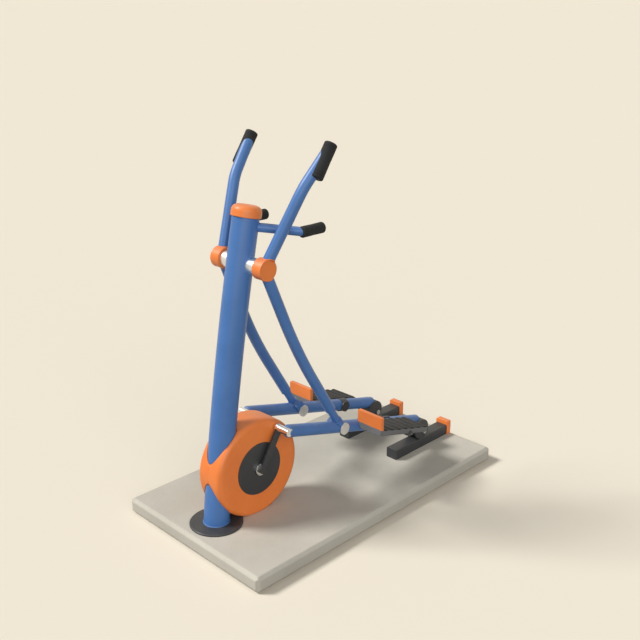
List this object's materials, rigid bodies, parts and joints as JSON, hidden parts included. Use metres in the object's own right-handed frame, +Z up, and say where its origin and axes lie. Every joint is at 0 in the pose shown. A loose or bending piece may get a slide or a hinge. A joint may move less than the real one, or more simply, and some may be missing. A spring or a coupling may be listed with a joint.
{
  "type": "outdoor air walker",
  "caption": "Outdoor air walker: blue post on a concrete base, orange drum with cranks, foot bars with trays and rear rollers, swing arms and a fixed handlebar.",
  "frame": {"origin": "under the middle of the concrete base, on the ground", "axes": "+X to the walker's right, +Y from the post towards the user's rear end, +Z up"},
  "size_m": [0.88, 1.575, 1.7004],
  "materials": {
    "concrete": "matt cast concrete",
    "blue_paint": "satin powder coat",
    "orange_paint": "satin powder coat",
    "black_paint": "satin powder coat",
    "black_polymer": "matt moulded",
    "grip_rubber": "matt",
    "chrome": "polished",
    "steel": "brushed"
  },
  "bodies": {
    "frame": {"concrete_base": "concrete", "base_flange": "black_paint", "anchor_bolts": "black_paint", "post": "blue_paint", "post_cap": "orange_paint", "pivot_shaft": "steel", "shaft_sleeves": "chrome", "hub_bearings": "steel", "crank_axle": "steel", "crank_bearings": "steel", "housing_bolts": "steel", "rail_anchors": "steel", "right_housing": "orange_paint", "left_housing": "orange_paint", "right_side_cover": "black_paint", "left_side_cover": "black_paint", "right_fixed_bar": "blue_paint", "left_fixed_bar": "blue_paint", "right_fixed_grip": "grip_rubber", "left_fixed_grip": "grip_rubber", "right_rail": "black_paint", "left_rail": "black_paint", "right_rear_stop": "orange_paint", "left_rear_stop": "orange_paint"},
    "right_crank_body": {"right_crank_hub": "chrome", "right_crank_arm": "black_paint", "right_crank_pin": "chrome"},
    "right_foot_bar_body": {"right_foot_bar": "blue_paint", "right_bar_pin": "chrome", "right_mid_pin": "chrome", "right_roller_fork": "black_paint", "right_roller_axle": "steel", "right_cross_bar": "black_paint", "right_tray": "black_polymer", "right_toe_guard": "orange_paint", "right_guard_bolts": "steel"},
    "right_roller_body": {"right_roller": "black_polymer"},
    "right_arm_body": {"right_hub": "orange_paint", "right_upper_arm": "blue_paint", "right_lower_arm": "blue_paint", "right_arm_grip": "grip_rubber"},
    "right_link_rod_body": {"right_link_rod": "blue_paint"},
    "left_crank_body": {"left_crank_hub": "chrome", "left_crank_arm": "black_paint", "left_crank_pin": "chrome"},
    "left_foot_bar_body": {"left_foot_bar": "blue_paint", "left_bar_pin": "chrome", "left_mid_pin": "chrome", "left_roller_fork": "black_paint", "left_roller_axle": "steel", "left_cross_bar": "black_paint", "left_tray": "black_polymer", "left_toe_guard": "orange_paint", "left_guard_bolts": "steel"},
    "left_roller_body": {"left_roller": "black_polymer"},
    "left_arm_body": {"left_hub": "orange_paint", "left_upper_arm": "blue_paint", "left_lower_arm": "blue_paint", "left_arm_grip": "grip_rubber"},
    "left_link_rod_body": {"left_link_rod": "blue_paint"}
  },
  "joints": [
    {"name": "right_stride", "type": "slide", "parent": "frame", "child": "right_foot_bar_body", "axis": [0, -1, 0], "range_m": [0, 0.2048]},
    {"name": "right_crank", "type": "hinge", "parent": "frame", "child": "right_crank_body", "pos_m": [0.08, -0.4465, 0.2904], "axis": [1, 0, 0], "range_deg": [0, 63.3]},
    {"name": "right_arm", "type": "hinge", "parent": "frame", "child": "right_arm_body", "pos_m": [0.1305, -0.4453, 1.2068], "axis": [1, 0, 0], "range_deg": [-11.6, 0]},
    {"name": "right_link_rod", "type": "hinge", "parent": "right_foot_bar_body", "child": "right_link_rod_body", "pos_m": [0.105, -0.0117, 0.3646], "axis": [1, 0, 0], "range_deg": [-11.6, 0]},
    {"name": "right_roller", "type": "hinge", "parent": "right_foot_bar_body", "child": "right_roller_body", "pos_m": [0.1565, 0.5554, 0.1593], "axis": [1, 0, 0], "range_deg": [0, 346]},
    {"name": "left_stride", "type": "slide", "parent": "frame", "child": "left_foot_bar_body", "axis": [0, -1, 0], "range_m": [0, 0.2048]},
    {"name": "left_crank", "type": "hinge", "parent": "frame", "child": "left_crank_body", "pos_m": [-0.08, -0.4465, 0.2904], "axis": [1, 0, 0], "range_deg": [0, 63.3]},
    {"name": "left_arm", "type": "hinge", "parent": "frame", "child": "left_arm_body", "pos_m": [-0.1305, -0.4453, 1.2068], "axis": [1, 0, 0], "range_deg": [-11.6, 0]},
    {"name": "left_link_rod", "type": "hinge", "parent": "left_foot_bar_body", "child": "left_link_rod_body", "pos_m": [-0.105, -0.0117, 0.3646], "axis": [1, 0, 0], "range_deg": [-11.6, 0]},
    {"name": "left_roller", "type": "hinge", "parent": "left_foot_bar_body", "child": "left_roller_body", "pos_m": [-0.1565, 0.5554, 0.1593], "axis": [1, 0, 0], "range_deg": [0, 346]}
  ],
  "couplings": [
    {"joint": "right_crank", "follows": "right_stride", "rad_per_m": 5.3867},
    {"joint": "right_arm", "follows": "right_stride", "rad_per_m": -0.9797},
    {"joint": "right_link_rod", "follows": "right_stride", "rad_per_m": -0.9797},
    {"joint": "right_roller", "follows": "right_stride", "rad_per_m": 29.412},
    {"joint": "left_crank", "follows": "left_stride", "rad_per_m": 5.3867},
    {"joint": "left_arm", "follows": "left_stride", "rad_per_m": -0.9797},
    {"joint": "left_link_rod", "follows": "left_stride", "rad_per_m": -0.9797},
    {"joint": "left_roller", "follows": "left_stride", "rad_per_m": 29.412}
  ]
}
